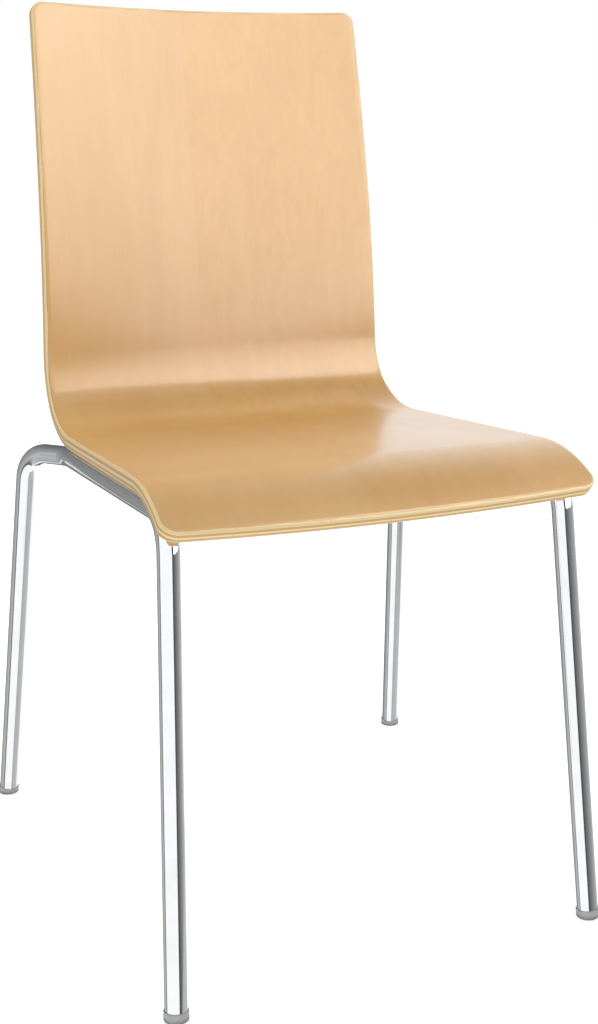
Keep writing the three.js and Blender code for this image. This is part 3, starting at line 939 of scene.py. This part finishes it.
def rubber_material():
    nodes = Nodes("black_rubber")
    shader = nodes.shader
    dust = nodes.noise(nodes.position(), scale=700, detail=4, roughness=0.65)
    colour = nodes.ramp(dust, [(0.4, (0.018, 0.018, 0.02)), (0.8, (0.06, 0.058, 0.055))])
    nodes.link(colour, shader.inputs["Base Color"])
    nodes.link(nodes.remap(dust, 0.3, 0.7, 0.6, 0.8), shader.inputs["Roughness"])
    nodes.bump(dust, distance=0.00006, strength=0.5)
    return nodes.material


def floor_material():
    """White paper, lit a little from below so that it stays white away from the lamps."""
    nodes = Nodes("studio_floor")
    shader = nodes.shader
    shader.inputs["Base Color"].default_value = (0.93, 0.93, 0.93, 1)
    shader.inputs["Roughness"].default_value = 0.9
    shader.inputs["Specular IOR Level"].default_value = 0.1
    shader.inputs["Emission Color"].default_value = (*WHITE, 1)
    shader.inputs["Emission Strength"].default_value = 0.5
    return nodes.material


def finish_pieces():
    by_slot = {
        "chrome_tube": chrome_material(),
        "zinc_steel": zinc_material(),
        "foot_plastic": foot_material(),
        "rubber_pad": rubber_material(),
    }
    veneer, edge = veneer_material(), ply_edge_material()
    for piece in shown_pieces():
        slot = piece.get("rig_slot")
        if slot == "plywood":
            piece.data.materials.append(veneer)
            piece.data.materials.append(edge)
        elif slot in by_slot:
            piece.data.materials.append(by_slot[slot])


# ---- studio -------------------------------------------------------------

FLOOR_HALF_SIZE = 12.0         # metres, like the other lengths of the studio
FLOOR_DROP = 0.0004            # keeps the floor clear of the feet

AMBIENT_LIGHT = 0.82
HORIZON_GLOW = 1.42
CEILING_GLOW = 0.06
FADE_HEIGHTS = (0.5, 0.97)     # where the horizon's glow starts to fade and where it is gone; 1 is overhead

# Curved boards round the set shape what the chrome and the lacquer reflect. Only reflections see them.
# Angles are in degrees, clockwise from straight ahead of the sitter as seen from above.
# The glow runs from one value to the other along the board, and each edge has a share of it.
REFLECTOR_RADIUS = 1.1
REFLECTOR_STEPS = 24
REFLECTORS = [
    # name, start angle, end angle, lower edge, upper edge, start glow, end glow, lower share, upper share
    ("dark_right", 0, -100, -0.45, 0.42, 0.06, 0.62, 1, 1),
    ("low_right", -5, -110, -3.0, -0.45, 0.48, 0.62, 1, 1),
    ("left", 94, 112, -3.0, 1.2, 0.01, 0.6, 1, 1),
    ("rear", 112, 188, -3.0, 2.2, 0.95, 0.25, 1, 0.2),
    ("dark_front", 0, -15, 0.42, 1.0, 0.05, 0.1, 1, 1),
    ("soft_panel", -15, -64, 0.42, 2.6, 5.4, 9.4, 0.60, 0.72),
]


def area_light(name, place, target, size, power):
    light = bpy.data.lights.new(name, "AREA")
    light.shape = "RECTANGLE"
    light.size, light.size_y = size
    light.energy = power
    lamp = put_in_scene(name, light)
    lamp.location = place
    lamp.rotation_euler = (Vector(target) - Vector(place)).to_track_quat("-Z", "Y").to_euler()
    lamp.visible_glossy = False


def build_floor():
    half = FLOOR_HALF_SIZE
    corners = [(-half, -half, 0), (half, -half, 0), (half, half, 0), (-half, half, 0)]
    mesh = bpy.data.meshes.new("studio_floor")
    mesh.from_pydata(corners, [], [(0, 1, 2, 3)])
    mesh.materials.append(floor_material())
    floor = put_in_scene("studio_floor", mesh)
    floor.location.z = -FLOOR_DROP
    floor.visible_glossy = False


def reflector_material(name, start_glow, end_glow, bottom_share, top_share):
    nodes = Nodes(name)
    place = nodes.split(nodes.add("ShaderNodeAttribute", attribute_name="place").outputs["Vector"])
    glow = nodes.add("ShaderNodeEmission")
    across = nodes.remap(place["X"], 0, 1, start_glow, end_glow)
    upward = nodes.remap(place["Y"], 0, 1, bottom_share, top_share)
    nodes.link(nodes.math("MULTIPLY", across, upward), glow.inputs["Strength"])
    nodes.link(glow.outputs["Emission"], nodes.tree.nodes["Material Output"].inputs["Surface"])
    return nodes.material


def reflector_mesh(name, start_angle, end_angle, bottom, top):
    """A piece of a cylinder, with each point's share of the way along and up it kept as "place"."""
    points, places, faces = [], [], []
    for i in range(REFLECTOR_STEPS + 1):
        along = i / REFLECTOR_STEPS
        angle = math.radians(start_angle + (end_angle - start_angle) * along)
        for up, z in enumerate((bottom, top)):
            points.append((-REFLECTOR_RADIUS * math.sin(angle), -REFLECTOR_RADIUS * math.cos(angle), z))
            places += [along, up, 0]
        if i:
            faces.append((2 * i - 2, 2 * i, 2 * i + 1, 2 * i - 1))
    mesh = bpy.data.meshes.new(name)
    mesh.from_pydata(points, [], faces)
    mesh.attributes.new("place", "FLOAT_VECTOR", "POINT").data.foreach_set("vector", places)
    return mesh


def build_reflectors():
    for label, start_angle, end_angle, bottom, top, *glows in REFLECTORS:
        name = f"reflector_{label}"
        mesh = reflector_mesh(name, start_angle, end_angle, bottom, top)
        mesh.materials.append(reflector_material(name, *glows))
        board = put_in_scene(name, mesh)
        board.visible_camera = False
        board.visible_diffuse = False
        board.visible_shadow = False
        board.visible_transmission = False


def reflected_sky(tree):
    """A bright horizon that fades to a dark ceiling."""
    sky = tree.nodes.new("ShaderNodeBackground")
    direction = tree.nodes.new("ShaderNodeTexCoord")
    height = tree.nodes.new("ShaderNodeSeparateXYZ")
    fade = tree.nodes.new("ShaderNodeMapRange")
    fade.interpolation_type = "SMOOTHSTEP"
    for key, number in zip(REMAP_SOCKETS, (*FADE_HEIGHTS, HORIZON_GLOW, CEILING_GLOW)):
        fade.inputs[key].default_value = number
    tree.links.new(direction.outputs["Generated"], height.inputs[0])
    tree.links.new(height.outputs["Z"], fade.inputs["Value"])
    tree.links.new(fade.outputs["Result"], sky.inputs["Strength"])
    return sky


def choose_by_ray(tree, ray, otherwise, chosen):
    """The chosen shader for rays of one kind, and the other shader for all the rest."""
    path = tree.nodes.new("ShaderNodeLightPath")
    mix = tree.nodes.new("ShaderNodeMixShader")
    tree.links.new(path.outputs[ray], mix.inputs[0])
    tree.links.new(otherwise.outputs[0], mix.inputs[1])
    tree.links.new(chosen.outputs[0], mix.inputs[2])
    return mix


def build_world():
    """White behind the chair, even light all round, and a sky of its own for reflections."""
    world = bpy.data.worlds.new("studio_world")
    bpy.context.scene.world = world
    world.use_nodes = True
    tree = world.node_tree
    backdrop = tree.nodes["Background"]
    backdrop.inputs["Color"].default_value = (*WHITE, 1)
    backdrop.inputs["Strength"].default_value = 1.0
    ambient = tree.nodes.new("ShaderNodeBackground")
    ambient.inputs["Strength"].default_value = AMBIENT_LIGHT
    unseen = choose_by_ray(tree, "Is Glossy Ray", ambient, reflected_sky(tree))
    light = choose_by_ray(tree, "Is Camera Ray", unseen, backdrop)
    tree.links.new(light.outputs[0], tree.nodes["World Output"].inputs["Surface"])


def build_studio():
    build_floor()
    build_reflectors()
    build_world()
    area_light("overhead_softbox", place=(0, 0.1, 2.5), target=(0, 0.099, 0), size=(1.3, 1.3), power=14)
    area_light("rear_fill", place=(-0.9, 2.3, 1.9), target=(0, 0, 0.5), size=(2.0, 2.0), power=14)


# ---- camera -------------------------------------------------------------

CAMERA_PLACE = (-510, -993, 698)     # laid out like the chair, in millimetres
CAMERA_YAW = 23.1                    # degrees
CAMERA_PITCH = 14.1
CAMERA_ROLL = 0.4
CAMERA_LENS = 49.1
CAMERA_SENSOR = 36                   # the long side of the picture
CAMERA_SHIFT = (-0.0037, -0.0013)


def build_camera():
    data = bpy.data.cameras.new("camera")
    data.lens = CAMERA_LENS
    data.sensor_width = CAMERA_SENSOR
    data.shift_x, data.shift_y = CAMERA_SHIFT
    camera = put_in_scene("camera", data)
    camera.location = in_frame(CAMERA_PLACE)
    level = Matrix.Rotation(math.radians(90 - CAMERA_PITCH), 4, "X")
    heading = Matrix.Rotation(-math.radians(CAMERA_YAW), 4, "Z")
    roll = Matrix.Rotation(-math.radians(CAMERA_ROLL), 4, "Z")
    camera.rotation_euler = (heading @ level @ roll).to_euler()
    bpy.context.scene.camera = camera


# ---- the chair ----------------------------------------------------------

build_shell()
for side, sign in (("left", 1), ("right", -1)):
    build_side_frame(side, sign)
    corners = frame_corners(sign)
    build_foot_cap(f"ferrule_front_{side}", corners[0], corners[1])
    build_foot_cap(f"ferrule_rear_{side}", corners[-1], corners[-2])
for end, station, _ in CROSS_STATIONS:
    build_cross_tube(end, station)
build_fixings()
finish_pieces()
build_studio()
build_camera()
bpy.context.scene.view_settings.view_transform = "Standard"
